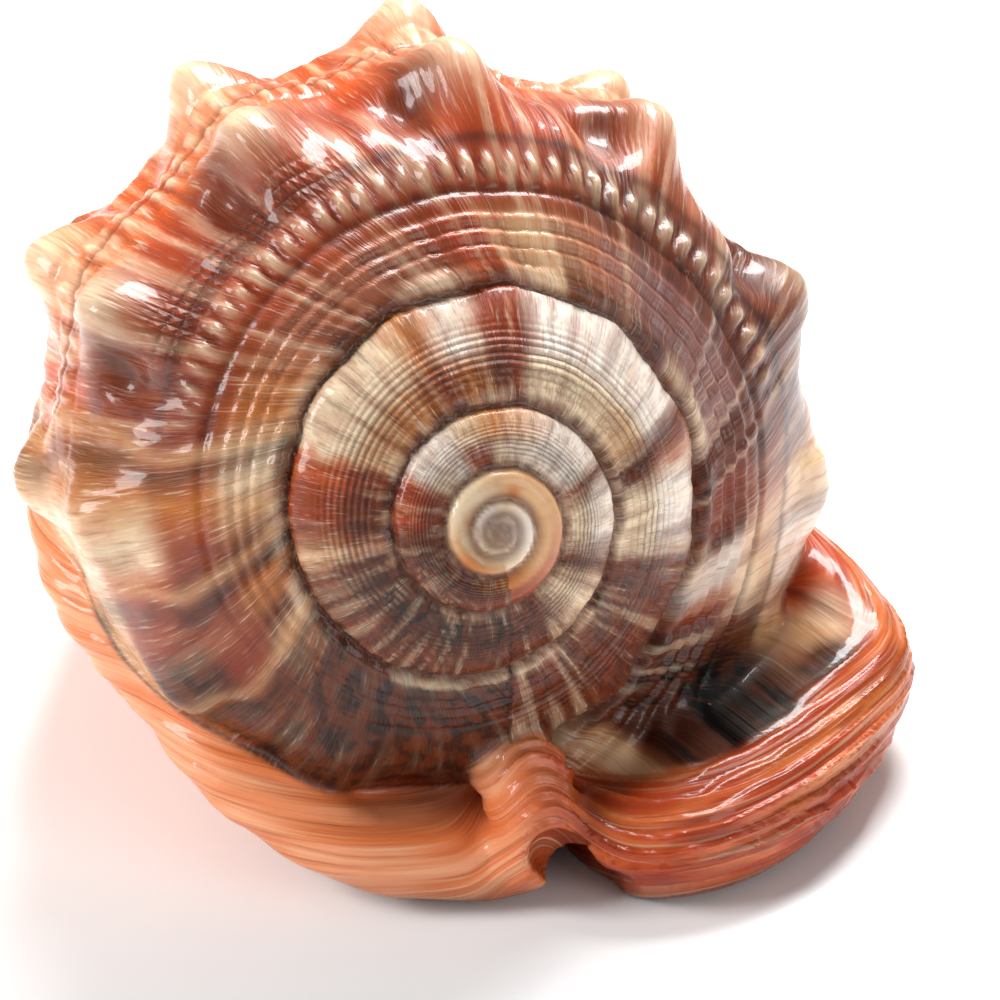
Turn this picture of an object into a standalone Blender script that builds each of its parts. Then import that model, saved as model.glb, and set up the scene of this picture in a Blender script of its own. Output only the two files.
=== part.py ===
"""A helmet shell lying on its aperture, modelled from the rule by which the animal grows it.

The shell is one body. Its surface is the zero level of a distance field: coiled whorls whose
section grows by a fixed ratio each turn, a callus disc with a rolled rim under them, a siphonal
canal at the far end, and the hollow of the last whorl with its long narrow aperture.
The field is written in units of SUTURE_RADIUS, with the apex over the origin and +Z up.
"""

import bpy
import numpy as np
import openvdb

# Driving dimensions.
SUTURE_RADIUS = 0.035  # metres, from the axis to the suture at the outer lip
GROWTH_PER_TURN = 0.636  # natural logarithm of the size ratio of one turn to the turn before
SPIRE_DROP = 0.592  # how far the suture lies below the apex at the lip
SPIRE_POWER = 1.449  # over 1 for a domed spire, 1 for a straight cone
AXIS_TILT_DEGREES = 13.75  # the coiling axis rises towards the apex
APEX_HEIGHT = 1.52
LIP_ANGLE = -6.0  # degrees round the axis from straight down to where the last whorl ends
WHORLS = 8

SAMPLE_STEP = 0.04
BLOCK = 4  # samples along each side of a block that is sampled finely or skipped
TRIANGLES = 6400
FIELD_LOW = np.array([-1.9, -0.6, -0.3])
FIELD_HIGH = np.array([2.4, 4.9, 3.1])

# Section of a whorl through the axis, in units of its own suture radius: distance from the
# axis, and height over the suture. It runs from the suture over the shoulder to the base.
SECTION = [
    (1.0, 0.0), (1.16, -0.05), (1.36, -0.17), (1.55, -0.33), (1.72, -0.49), (1.84, -0.66),
    (1.925, -0.90), (1.965, -1.25), (1.975, -1.60), (1.955, -2.0), (1.87, -2.45), (1.68, -2.90),
    (1.36, -3.28), (0.95, -3.55), (0.5, -3.72), (0.0, -3.78), (-0.3, -3.0), (-0.35, -1.5),
    (0.3, -0.5), (0.85, -0.10),
]
SECTION_CENTRE = np.array([0.90, -1.90])
BASE_START = -0.8  # below this height the base of the section is shortened near the lip
BASE_SHORTENING = 0.28
REFERENCE_RADIUS = 0.75  # the suture radius at which SECTION has its true height

# Rows of knobs: place on the section, angle of the first, spacing, height, half widths along
# and across the row, and the angle past which the row fades towards the lip.
KNOB_ROWS = [
    (1.90, -0.82, -230.3, 32.1, 0.165, 8.0, 0.13, -84),
    (1.975, -1.74, -227.5, 32.8, 0.175, 7.6, 0.18, -105),
    (1.87, -2.45, -224.0, 32.8, 0.10, 9.5, 0.14, -85),
    (1.60, -3.02, -221.0, 32.8, 0.07, 9.5, 0.11, -80),
]

KNOB_DIP = 0.10  # depth of the hollows between two knobs of a row
# How far the section's side is drawn in towards the lip: growth angle, and part of its reach.
SLIMMER = [(-220, 0.0), (-211, 0.05), (-199, 0.05), (-191, 0.0), (-180, 0.05), (-170, 0.02),
           (-160, 0.04), (-145, 0.06), (-127, 0.06), (-115, 0.09), (-104, 0.085), (-97, 0.035),
           (-90, -0.045), (-82, -0.08), (-76, -0.05), (-70, -0.01), (-60, -0.02), (-48, 0.03)]

# Centre line of the rolled rim of the callus disc, and the rim's radius: x, y, z, radius.
RIM = [
    (0.02, 0.12, 0.13, 0.12), (-0.17, 0.16, 0.15, 0.12), (-0.48, 0.26, 0.22, 0.12),
    (-0.80, 0.56, 0.40, 0.12), (-0.97, 0.91, 0.59, 0.115), (-1.18, 1.22, 0.83, 0.10),
    (-1.20, 1.60, 1.00, 0.09), (-1.08, 2.10, 0.98, 0.09), (-0.87, 2.60, 0.84, 0.09),
    (-0.62, 3.03, 0.68, 0.10), (-0.38, 3.40, 0.54, 0.11), (-0.17, 3.68, 0.47, 0.12),
    (0.06, 3.80, 0.42, 0.13), (0.35, 3.68, 0.36, 0.14), (0.80, 3.25, 0.34, 0.15),
    (1.24, 2.70, 0.38, 0.15), (1.55, 2.10, 0.44, 0.15), (1.67, 1.50, 0.44, 0.15),
    (1.74, 1.00, 0.41, 0.15), (1.71, 0.60, 0.33, 0.16), (1.41, 0.31, 0.24, 0.18),
    (1.04, 0.08, 0.18, 0.20), (0.72, -0.01, 0.17, 0.20), (0.46, 0.01, 0.17, 0.17),
    (0.26, 0.09, 0.20, 0.14),
]
# The fold that roofs the notch at the aperture's near end, the recurved siphonal canal at its
# far end, and the two grooves that open them.
FOLD = [(0.13, 0.46, 0.46, 0.10), (0.13, 0.30, 0.46, 0.13), (0.13, 0.18, 0.43, 0.15),
        (0.14, 0.10, 0.37, 0.15), (0.15, 0.06, 0.26, 0.15)]
CANAL = [(0.25, 2.90, 0.55, 0.45), (0.15, 3.40, 0.50, 0.37), (0.08, 3.75, 0.56, 0.31),
         (0.04, 3.98, 0.72, 0.25), (0.02, 4.08, 0.92, 0.21)]
CANAL_GROOVE = [(0.30, 2.80, 0.20, 0.13), (0.18, 3.40, 0.14, 0.13), (0.10, 3.80, 0.22, 0.13),
                (0.05, 4.08, 0.46, 0.13), (0.03, 4.24, 0.80, 0.12), (0.02, 4.30, 1.20, 0.12)]
NOTCH = [(0.36, -0.50, 0.02, 0.26), (0.31, -0.16, 0.04, 0.16), (0.285, 0.00, 0.07, 0.115),
         (0.29, 0.22, 0.10, 0.09), (0.32, 0.80, 0.25, 0.09)]
ARCH = [(0.13, -0.21, 0.31, 0.10), (0.17, -0.07, 0.27, 0.095), (0.26, -0.02, 0.15, 0.10),
        (0.31, 0.00, 0.03, 0.12)]

WALL = 0.11
INNER_CALLUS = (np.array([-0.32, 2.45, 0.52]), np.array([0.52, 1.0, 0.42]))  # centre, radii

# The axis towards the apex, the direction across it nearest to up, and the apex.
TILT = np.radians(AXIS_TILT_DEGREES)
AXIS = np.array([0.0, -np.cos(TILT), np.sin(TILT)])
ACROSS = np.array([0.0, np.sin(TILT), np.cos(TILT)])
APEX = np.array([0.0, 0.0, APEX_HEIGHT])


def smooth_curve(points, steps, closed):
    """Catmull-Rom curve through the points, with the given number of steps between two."""
    points = np.asarray(points, dtype=float)
    count = len(points)
    pieces = []
    for i in range(count if closed else count - 1):
        near = [i - 1, i, i + 1, i + 2]
        near = [k % count for k in near] if closed else np.clip(near, 0, count - 1)
        a, b, c, d = points[near]
        t = np.linspace(0.0, 1.0, steps, endpoint=False)[:, None]
        pieces.append(0.5 * (2 * b + (c - a) * t + (2 * a - 5 * b + 4 * c - d) * t**2
                             + (3 * b - a - 3 * c + d) * t**3))
    if not closed:
        pieces.append(points[-1:])
    return np.vstack(pieces)


def bump(x, width):
    return np.exp(-((x / width) ** 2))


def smooth_step(low, high, x):
    t = np.clip((x - low) / (high - low), 0.0, 1.0)
    return t * t * (3 - 2 * t)


def join(a, b, blend):
    """Union of two fields, rounded over the blend distance."""
    t = np.clip(0.5 + 0.5 * (b - a) / blend, 0.0, 1.0)
    return b + (a - b) * t - blend * t * (1 - t)


def meet(a, b, blend):
    """Intersection of two fields, rounded over the blend distance."""
    return -join(-a, -b, blend)


def section_table(samples=2401):
    """The section as radius over angle about its centre, with the radius's slope."""
    outline = smooth_curve(SECTION, 40, True) - SECTION_CENTRE
    angle = np.arctan2(outline[:, 1], outline[:, 0])
    order = np.argsort(angle)
    at = np.linspace(-np.pi, np.pi, samples)
    radius = np.interp(at, angle[order], np.hypot(*outline.T)[order], period=2 * np.pi)
    return at, radius, np.gradient(radius, at)


SECTION_ANGLE, SECTION_REACH, SECTION_SLOPE = section_table()


def section_angle(x, y):
    return np.arctan2(y - SECTION_CENTRE[1], x - SECTION_CENTRE[0])


def knobs(turn, angle):
    """How far the knobs and the ribs between them stand out of the section."""
    strength = (0.06 + 0.16 * smooth_step(-640, -560, turn) + 0.10 * smooth_step(-420, -330, turn)
                + 0.68 * smooth_step(-292, -252, turn))
    out = np.zeros_like(turn)
    for x, y, first, spacing, height, along, across, last in KNOB_ROWS:
        phase = (turn - first + spacing / 2) % spacing - spacing / 2
        row = angle - section_angle(x, y)
        fade = strength * (1 - smooth_step(last, last + 40, turn))
        crest = np.where(phase < 0, bump(phase, 0.85 * along), bump(phase, 1.15 * along))
        dip = bump(np.abs(phase) - spacing / 2, along)
        out += fade * (height * crest * bump(row, across) - KNOB_DIP * dip * bump(row, 1.4 * across))
    phase = (turn + 229 + 16.15) % 32.3 - 16.15
    fade = strength * (1 - smooth_step(-110, -60, turn))
    shoulder = section_angle(1.80, -0.58)
    out += 0.06 * fade * bump(phase, 7) * bump(angle - section_angle(1.95, -1.6), 0.45)
    out += 0.05 * fade * bump(phase - 2, 5) * bump(angle - shoulder, 0.13)
    out -= 0.12 * fade * bump(phase + 8, 4.5) * bump(angle - shoulder, 0.11)
    return out


def whorl(reach, turn, height):
    """Distance to one whorl, from the distance to the axis, growth angle and height."""
    size = np.exp(GROWTH_PER_TURN * turn / 360)
    flatten = (size / REFERENCE_RADIUS) ** (SPIRE_POWER - 1)
    y = (height + SPIRE_DROP * size**SPIRE_POWER) / (size * flatten)
    shortened = 1 - BASE_SHORTENING * smooth_step(-190, 0, turn)
    y = np.where(y < BASE_START, BASE_START + (y - BASE_START) / shortened, y)
    x = reach / size - SECTION_CENTRE[0]
    y = y - SECTION_CENTRE[1]
    angle = np.arctan2(y, x)
    surface = np.interp(angle, SECTION_ANGLE, SECTION_REACH)
    slope = np.interp(angle, SECTION_ANGLE, SECTION_SLOPE) / surface
    slimmer = np.interp(turn, *np.transpose(SLIMMER)) * smooth_step(1.10, 0.75, angle)
    surface = surface * (1 - slimmer) + knobs(turn, angle)
    return (np.hypot(x, y) - surface) / np.sqrt(1 + slope**2) * size * np.minimum(flatten, 1)


def tube(points, path):
    """Distance to a round tube whose radius is the path's fourth column."""
    nearest = np.full(len(points), 9.0)
    for start, end in zip(path[:-1], path[1:]):
        run = end[:3] - start[:3]
        t = np.clip((points - start[:3]) @ run / (run @ run), 0.0, 1.0)
        gap = points - start[:3] - t[:, None] * run
        radius = start[3] + (end[3] - start[3]) * t
        nearest = np.minimum(nearest, np.sqrt((gap**2).sum(axis=1)) - radius)
    return nearest


def outline_distance(x, y, outline):
    """Signed distance in plan to a closed outline, negative inside."""
    squared = np.full(x.shape, 81.0)
    inside = np.zeros(x.shape, dtype=bool)
    for (ax, ay), (bx, by) in zip(outline, np.roll(outline, -1, axis=0)):
        ex, ey = bx - ax, by - ay
        t = np.clip(((x - ax) * ex + (y - ay) * ey) / (ex * ex + ey * ey), 0.0, 1.0)
        squared = np.minimum(squared, (x - ax - t * ex) ** 2 + (y - ay - t * ey) ** 2)
        if ay != by:
            crosses = ((ay > y) != (by > y)) & (x < ax + ex * (y - ay) / ey)
            inside ^= crosses
    return np.where(inside, -1, 1) * np.sqrt(squared)


RIM_OUTLINE = smooth_curve(RIM, 4, True)
RIM_PATH = np.vstack([RIM_OUTLINE, RIM_OUTLINE[:1]])
FOLD_PATH = smooth_curve(FOLD, 3, False)
CANAL_PATH = smooth_curve(CANAL, 3, False)
CANAL_GROOVE_PATH = smooth_curve(CANAL_GROOVE, 3, False)
NOTCH_PATH = smooth_curve(NOTCH, 3, False)
ARCH_PATH = smooth_curve(ARCH, 3, False)


def slit_x(y):
    """The aperture's centre line in plan."""
    bend = 0.26 * np.sin(np.clip((y - 0.1) / 3.9, 0.0, 1.0) * np.pi)
    return 0.22 - 0.11 * smooth_step(2.4, 3.7, y) + bend


def underside(x, y):
    """Height of the disc's lower face: it touches the ground on both sides of the aperture."""
    from_slit = x - slit_x(y)
    inward = np.minimum(np.abs(from_slit) - 0.25, 0.0)
    height = 0.50 * inward**2 - 0.008
    height += 0.36 * np.maximum(0.0, -0.42 - from_slit) ** 1.8
    height += 0.16 * np.maximum(0.0, from_slit - 0.50) ** 2
    return height + 0.08 * np.maximum(0.0, y - 2.7) ** 1.5


def disc(points, ground):
    """The callus disc: a slab over the underside, within the rim, and the rim itself."""
    x, y, z = points.T
    plan = outline_distance(x, y, RIM_OUTLINE[:, :2])
    half = 0.13 + 0.07 * smooth_step(0.3, 0.8, x) * (1 - smooth_step(0.3, 1.6, y))
    slab = meet(plan + 0.04, 0.85 * (np.abs(z - ground - half) - half), 0.14)
    return slab, tube(points, RIM_PATH)


def hollow(points, ground, last, earlier, turn, reach, height):
    """The room inside the last whorl, its aperture, the notch and the canal's groove."""
    x, y, z = points.T
    wall = WALL + 0.30 * smooth_step(-140, -230, turn)
    room = np.maximum(last + wall, 0.04 - earlier)
    room = meet(room, 0.30 + ground - z, 0.12)
    room = meet(room, np.radians(turn) * reach + 0.12, 0.05)
    columella = 0.27 - 0.03 * smooth_step(-2.6, -3.8, height)
    room = meet(room, columella - reach, 0.1)
    half_width = 0.065 + 0.045 * smooth_step(0.3, 1.4, y)
    top = 0.10 + 0.65 * smooth_step(0.35, 1.0, y)
    slit = meet(np.abs(x - slit_x(y)) - half_width, z - top, 0.06)
    slit = meet(slit, y - 3.5, 0.05)
    room = join(room, slit, 0.06)
    room = join(room, tube(points, CANAL_GROOVE_PATH), 0.05)
    room = join(room, tube(points, ARCH_PATH), 0.03)
    return join(room, tube(points, NOTCH_PATH), 0.04)


def shell(points):
    """Signed distance to the shell, negative in its material."""
    x, y, z = points.T
    from_apex = points - APEX
    height = from_apex @ AXIS
    above = from_apex @ ACROSS
    reach = np.hypot(x, above)
    round_axis = np.degrees(np.arctan2(-x, -above))
    turn = (round_axis - LIP_ANGLE) % 360 - 360
    last = whorl(reach, turn, height)
    earlier = np.full(len(points), 9.0)
    for n in range(1, WHORLS):
        earlier = np.minimum(earlier, whorl(reach, turn - 360 * n, height))
    ground = underside(x, y)
    body = meet(np.minimum(last, earlier), 0.85 * (ground - z), 0.05)
    slab, rim = disc(points, ground)
    body = join(join(body, slab, 0.16), rim, 0.10)
    centre, radii = INNER_CALLUS
    callus = (np.sqrt((((points - centre) / radii) ** 2).sum(axis=1)) - 1) * radii.min()
    body = join(body, callus, 0.15)
    body = join(body, tube(points, FOLD_PATH), 0.09)
    body = join(body, tube(points, CANAL_PATH), 0.16)
    room = hollow(points, ground, last, earlier, turn, reach, height)
    return np.maximum(meet(body, -room, 0.035), -z)


def sample(field, low, high, step, block):
    """The field on a grid, worked out only in the blocks that its surface may cross."""
    counts = np.ceil((high - low) / (step * block)).astype(int)
    middles = [low[i] + (np.arange(counts[i]) + 0.5) * step * block - step / 2 for i in range(3)]
    centres = np.stack(np.meshgrid(*middles, indexing="ij"), axis=-1).reshape(-1, 3)
    coarse = field(centres)
    near = np.abs(coarse) < 1.25 * step * block
    values = np.where(coarse > 0, 1.0, -1.0).reshape(counts)
    for direction in range(3):
        values = np.repeat(values, block, axis=direction)
    corners = np.argwhere(near.reshape(counts)) * block
    inside = np.stack(np.meshgrid(*[np.arange(block)] * 3, indexing="ij"), axis=-1).reshape(-1, 3)
    batch = 4000
    for start in range(0, len(corners), batch):
        cells = (corners[start:start + batch, None] + inside).reshape(-1, 3)
        values[tuple(cells.T)] = field(low + cells * step)
    return values.astype(np.float32)


def largest_piece(points, quads):
    """Drops the small voids that are left closed between the whorls."""
    sides = np.vstack([quads[:, [0, 1]], quads[:, [1, 2]], quads[:, [2, 3]]]).astype(np.int64)
    label = np.arange(len(points))
    settled = False
    while not settled:
        lowest = np.minimum(label[sides[:, 0]], label[sides[:, 1]])
        joined = label.copy()
        np.minimum.at(joined, sides[:, 0], lowest)
        np.minimum.at(joined, sides[:, 1], lowest)
        joined = joined[joined]
        settled = np.array_equal(joined, label)
        label = joined
    kept = label == np.bincount(label).argmax()
    renumbered = np.cumsum(kept) - 1
    return points[kept], renumbered[quads[kept[quads[:, 0]]]]


def surface_mesh(name):
    """The field's zero level as a mesh in metres, standing on the ground over the origin."""
    grid = openvdb.FloatGrid(1.0)
    grid.copyFromArray(sample(shell, FIELD_LOW, FIELD_HIGH, SAMPLE_STEP, BLOCK))
    points, quads = largest_piece(*grid.convertToQuads(0.0))
    points = (points * SAMPLE_STEP + FIELD_LOW) * SUTURE_RADIUS
    low, high = points.min(axis=0), points.max(axis=0)
    points -= [(low[0] + high[0]) / 2, (low[1] + high[1]) / 2, low[2]]
    mesh = bpy.data.meshes.new(name)
    mesh.from_pydata(points.tolist(), [], quads.tolist())
    return mesh


def reduce_triangles(shell_object, triangles):
    """Thins the mesh to the given number of triangles, and makes the resting faces exact."""
    now = sum(len(face.vertices) - 2 for face in shell_object.data.polygons)
    decimate = shell_object.modifiers.new("fewer_triangles", "DECIMATE")
    decimate.ratio = triangles / now
    decimate.use_collapse_triangulate = True
    depsgraph = bpy.context.evaluated_depsgraph_get()
    reduced = bpy.data.meshes.new_from_object(shell_object.evaluated_get(depsgraph))
    shell_object.modifiers.clear()
    flat = 0.00015
    for vertex in reduced.vertices:
        if vertex.co.z < flat:
            vertex.co.z = 0.0
    shell_object.data = reduced


def shell_material():
    material = bpy.data.materials.new("shell")
    material.use_nodes = True
    surface = material.node_tree.nodes["Principled BSDF"]
    surface.inputs["Base Color"].default_value = (0.56, 0.21, 0.09, 1.0)
    surface.inputs["Roughness"].default_value = 0.25
    surface.inputs["Metallic"].default_value = 0.0
    return material


def main():
    for old in list(bpy.data.objects):
        bpy.data.objects.remove(old)
    mesh = surface_mesh("helmet_shell")
    shell_object = bpy.data.objects.new("helmet_shell", mesh)
    bpy.context.scene.collection.objects.link(shell_object)
    reduce_triangles(shell_object, TRIANGLES)
    shell_object.data.materials.append(shell_material())
    shell_object.data.shade_smooth()


main()
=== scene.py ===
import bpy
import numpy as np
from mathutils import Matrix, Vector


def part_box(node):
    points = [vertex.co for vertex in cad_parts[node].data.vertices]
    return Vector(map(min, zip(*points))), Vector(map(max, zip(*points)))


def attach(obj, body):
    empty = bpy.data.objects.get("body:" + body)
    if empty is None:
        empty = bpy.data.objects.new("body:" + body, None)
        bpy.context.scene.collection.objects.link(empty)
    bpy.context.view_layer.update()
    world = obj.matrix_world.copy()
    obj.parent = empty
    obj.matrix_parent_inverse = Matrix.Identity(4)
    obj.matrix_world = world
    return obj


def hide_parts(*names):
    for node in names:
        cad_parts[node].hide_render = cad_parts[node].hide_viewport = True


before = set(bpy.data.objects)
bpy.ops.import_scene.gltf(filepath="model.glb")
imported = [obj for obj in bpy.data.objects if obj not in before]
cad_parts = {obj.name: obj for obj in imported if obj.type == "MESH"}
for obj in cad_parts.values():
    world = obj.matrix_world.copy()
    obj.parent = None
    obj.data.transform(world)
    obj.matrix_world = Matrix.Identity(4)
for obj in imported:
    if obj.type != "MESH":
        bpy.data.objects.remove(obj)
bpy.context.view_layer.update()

# Looks of the helmet shell: a fine skin grown by the same rule as the CAD solid, with the relief,
# the colours that the animal lays down along its coil and painted shade in its hollows and creases, a
# camera, a floor and soft lights.
# The shell is worked out in units of SUTURE_RADIUS, with the apex over the origin and +Z up.

import openvdb
from mathutils import Vector

NODE = "helmet_shell"

# Driving dimensions.
SUTURE_RADIUS = 0.035  # metres, from the axis to the suture at the outer lip
GROWTH_PER_TURN = 0.636  # natural logarithm of the size ratio of one turn to the turn before
SPIRE_DROP = 0.592  # how far the suture lies below the apex at the lip
SPIRE_POWER = 1.449  # over 1 for a domed spire, 1 for a straight cone
AXIS_TILT_DEGREES = 13.75  # the coiling axis rises towards the apex
APEX_HEIGHT = 1.52  # of the apex over the ground
LIP_ANGLE = -6.0  # degrees round the axis from straight down to where the last whorl ends
WHORLS = 8
FAR = 9.0  # a distance greater than any in the shell's box

BLOCK = 4  # samples along each side of a block that is sampled finely or skipped
FIELD_LOW = np.array([-1.9, -0.6, -0.3])
FIELD_HIGH = np.array([2.4, 4.9, 3.1])

# Section of a whorl through the axis, in units of its own suture radius: distance from the
# axis, and height over the suture. It runs from the suture over the shoulder to the base.
SECTION = [
    (1.0, 0.0), (1.16, -0.05), (1.36, -0.17), (1.55, -0.33), (1.72, -0.49), (1.84, -0.66),
    (1.925, -0.90), (1.965, -1.25), (1.975, -1.60), (1.955, -2.0), (1.87, -2.45), (1.68, -2.90),
    (1.36, -3.28), (0.95, -3.55), (0.5, -3.72), (0.0, -3.78), (-0.3, -3.0), (-0.35, -1.5),
    (0.3, -0.5), (0.85, -0.10),
]
SECTION_CENTRE = np.array([0.90, -1.90])
BASE_START = -0.8  # below this height the base of the section is shortened near the lip
BASE_SHORTENING = 0.28
REFERENCE_RADIUS = 0.75  # the suture radius at which SECTION has its true height

# Rows of knobs: place on the section, angle of the first, spacing, height, half widths along
# and across the row, and the angle past which the row fades towards the lip.
KNOB_ROWS = [
    (1.90, -0.82, -230.3, 32.1, 0.165, 8.0, 0.13, -84),
    (1.975, -1.74, -227.5, 32.8, 0.175, 7.6, 0.18, -105),
    (1.87, -2.45, -224.0, 32.8, 0.10, 9.5, 0.14, -85),
    (1.60, -3.02, -221.0, 32.8, 0.07, 9.5, 0.11, -80),
]

KNOB_DIP = 0.10  # depth of the hollows between two knobs of a row
KNOB_START = -229.0  # growth angle of the ribs that join the knobs of neighbouring rows
KNOB_SPACING = 32.3
# How far the upper side of the section is drawn in, or let out where under 0, on the last
# whorl: growth angle, and part of its reach. The pairs were set one by one.
SLIMMER = [(-220, 0.0), (-211, 0.05), (-199, 0.05), (-191, 0.0), (-180, 0.05), (-170, 0.02),
           (-160, 0.04), (-145, 0.06), (-127, 0.06), (-115, 0.09), (-104, 0.085), (-97, 0.035),
           (-90, -0.045), (-82, -0.08), (-76, -0.05), (-70, -0.01), (-60, -0.02), (-48, 0.03)]

# Centre line of the rolled rim of the callus disc, and the rim's radius: x, y, z, radius.
RIM = [
    (0.02, 0.12, 0.13, 0.12), (-0.17, 0.16, 0.15, 0.12), (-0.48, 0.26, 0.22, 0.12),
    (-0.80, 0.56, 0.40, 0.12), (-0.97, 0.91, 0.59, 0.115), (-1.18, 1.22, 0.83, 0.10),
    (-1.20, 1.60, 1.00, 0.09), (-1.08, 2.10, 0.98, 0.09), (-0.87, 2.60, 0.84, 0.09),
    (-0.62, 3.03, 0.68, 0.10), (-0.38, 3.40, 0.54, 0.11), (-0.17, 3.68, 0.47, 0.12),
    (0.06, 3.80, 0.42, 0.13), (0.35, 3.68, 0.36, 0.14), (0.80, 3.25, 0.34, 0.15),
    (1.24, 2.70, 0.38, 0.15), (1.55, 2.10, 0.44, 0.15), (1.67, 1.50, 0.44, 0.15),
    (1.74, 1.00, 0.41, 0.15), (1.71, 0.60, 0.33, 0.16), (1.41, 0.31, 0.24, 0.18),
    (1.04, 0.08, 0.18, 0.20), (0.72, -0.01, 0.17, 0.20), (0.46, 0.01, 0.17, 0.17),
    (0.26, 0.09, 0.20, 0.14),
]
# The fold that roofs the notch at the aperture's near end, the recurved siphonal canal at its
# far end, and the two grooves that open them.
FOLD = [(0.13, 0.46, 0.46, 0.10), (0.13, 0.30, 0.46, 0.13), (0.13, 0.18, 0.43, 0.15),
        (0.14, 0.10, 0.37, 0.15), (0.15, 0.06, 0.26, 0.15)]
CANAL = [(0.25, 2.90, 0.55, 0.45), (0.15, 3.40, 0.50, 0.37), (0.08, 3.75, 0.56, 0.31),
         (0.04, 3.98, 0.72, 0.25), (0.02, 4.08, 0.92, 0.21)]
CANAL_GROOVE = [(0.30, 2.80, 0.20, 0.13), (0.18, 3.40, 0.14, 0.13), (0.10, 3.80, 0.22, 0.13),
                (0.05, 4.08, 0.46, 0.13), (0.03, 4.24, 0.80, 0.12), (0.02, 4.30, 1.20, 0.12)]
NOTCH = [(0.36, -0.50, 0.02, 0.26), (0.31, -0.16, 0.04, 0.16), (0.285, 0.00, 0.07, 0.115),
         (0.29, 0.22, 0.10, 0.09), (0.32, 0.80, 0.25, 0.09)]
ARCH = [(0.13, -0.21, 0.31, 0.10), (0.17, -0.07, 0.27, 0.095), (0.26, -0.02, 0.15, 0.10),
        (0.31, 0.00, 0.03, 0.12)]

WALL = 0.11  # thickness of the last whorl at its lip
INNER_CALLUS = (np.array([-0.32, 2.45, 0.52]), np.array([0.52, 1.0, 0.42]))  # centre, radii

# The axis towards the apex, the direction across it nearest to up, and the apex.
TILT = np.radians(AXIS_TILT_DEGREES)
AXIS = np.array([0.0, -np.cos(TILT), np.sin(TILT)])
ACROSS = np.array([0.0, np.sin(TILT), np.cos(TILT)])
APEX = np.array([0.0, 0.0, APEX_HEIGHT])


def smooth_curve(points, steps, closed):
    """Catmull-Rom curve through the points, with the given number of steps between two."""
    points = np.asarray(points, dtype=float)
    count = len(points)
    pieces = []
    for i in range(count if closed else count - 1):
        near = [i - 1, i, i + 1, i + 2]
        near = [k % count for k in near] if closed else np.clip(near, 0, count - 1)
        a, b, c, d = points[near]
        t = np.linspace(0.0, 1.0, steps, endpoint=False)[:, None]
        pieces.append(0.5 * (2 * b + (c - a) * t + (2 * a - 5 * b + 4 * c - d) * t**2
                             + (3 * b - a - 3 * c + d) * t**3))
    if not closed:
        pieces.append(points[-1:])
    return np.vstack(pieces)


def bump(x, width):
    return np.exp(-((x / width) ** 2))


def smooth_step(low, high, x):
    t = np.clip((x - low) / (high - low), 0.0, 1.0)
    return t * t * (3 - 2 * t)


def join(a, b, blend):
    """Union of two fields, rounded over the blend distance."""
    t = np.clip(0.5 + 0.5 * (b - a) / blend, 0.0, 1.0)
    return b + (a - b) * t - blend * t * (1 - t)


def meet(a, b, blend):
    """Intersection of two fields, rounded over the blend distance."""
    return -join(-a, -b, blend)


def section_table(samples=2401):
    """The section as radius over angle about its centre, with the radius's slope."""
    outline = smooth_curve(SECTION, 40, True) - SECTION_CENTRE
    angle = np.arctan2(outline[:, 1], outline[:, 0])
    order = np.argsort(angle)
    at = np.linspace(-np.pi, np.pi, samples)
    radius = np.interp(at, angle[order], np.hypot(*outline.T)[order], period=2 * np.pi)
    return at, radius, np.gradient(radius, at)


SECTION_ANGLE, SECTION_REACH, SECTION_SLOPE = section_table()


def section_angle(x, y):
    return np.arctan2(y - SECTION_CENTRE[1], x - SECTION_CENTRE[0])


def from_rib(turn):
    """Degrees of growth from the middle of the nearest rib."""
    return (turn - KNOB_START + KNOB_SPACING / 2) % KNOB_SPACING - KNOB_SPACING / 2


def knobs(turn, angle):
    """How far the knobs and the ribs between them stand out of the section."""
    strength = (0.06 + 0.16 * smooth_step(-640, -560, turn) + 0.10 * smooth_step(-420, -330, turn)
                + 0.68 * smooth_step(-292, -252, turn))
    out = np.zeros_like(turn)
    for x, y, first, spacing, height, along, across, last in KNOB_ROWS:
        phase = (turn - first + spacing / 2) % spacing - spacing / 2
        row = angle - section_angle(x, y)
        fade = strength * (1 - smooth_step(last, last + 40, turn))
        crest = np.where(phase < 0, bump(phase, 0.85 * along), bump(phase, 1.15 * along))
        dip = bump(np.abs(phase) - spacing / 2, along)
        out += fade * (height * crest * bump(row, across) - KNOB_DIP * dip * bump(row, 1.4 * across))
    phase = from_rib(turn)
    fade = strength * (1 - smooth_step(-110, -60, turn))
    shoulder = section_angle(1.80, -0.58)
    out += 0.06 * fade * bump(phase, 7) * bump(angle - section_angle(1.95, -1.6), 0.45)
    out += 0.05 * fade * bump(phase - 2, 5) * bump(angle - shoulder, 0.13)
    out -= 0.12 * fade * bump(phase + 8, 4.5) * bump(angle - shoulder, 0.11)
    return out


def whorl(reach, turn, height):
    """Distance to one whorl, from the distance to the axis, growth angle and height."""
    size = np.exp(GROWTH_PER_TURN * turn / 360)
    flatten = (size / REFERENCE_RADIUS) ** (SPIRE_POWER - 1)
    y = (height + SPIRE_DROP * size**SPIRE_POWER) / (size * flatten)
    shortened = 1 - BASE_SHORTENING * smooth_step(-190, 0, turn)
    y = np.where(y < BASE_START, BASE_START + (y - BASE_START) / shortened, y)
    x = reach / size - SECTION_CENTRE[0]
    y = y - SECTION_CENTRE[1]
    angle = np.arctan2(y, x)
    surface = np.interp(angle, SECTION_ANGLE, SECTION_REACH)
    slope = np.interp(angle, SECTION_ANGLE, SECTION_SLOPE) / surface
    slimmer = np.interp(turn, *np.transpose(SLIMMER)) * smooth_step(1.10, 0.75, angle)
    surface = surface * (1 - slimmer) + knobs(turn, angle)
    return (np.hypot(x, y) - surface) / np.sqrt(1 + slope**2) * size * np.minimum(flatten, 1)


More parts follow.
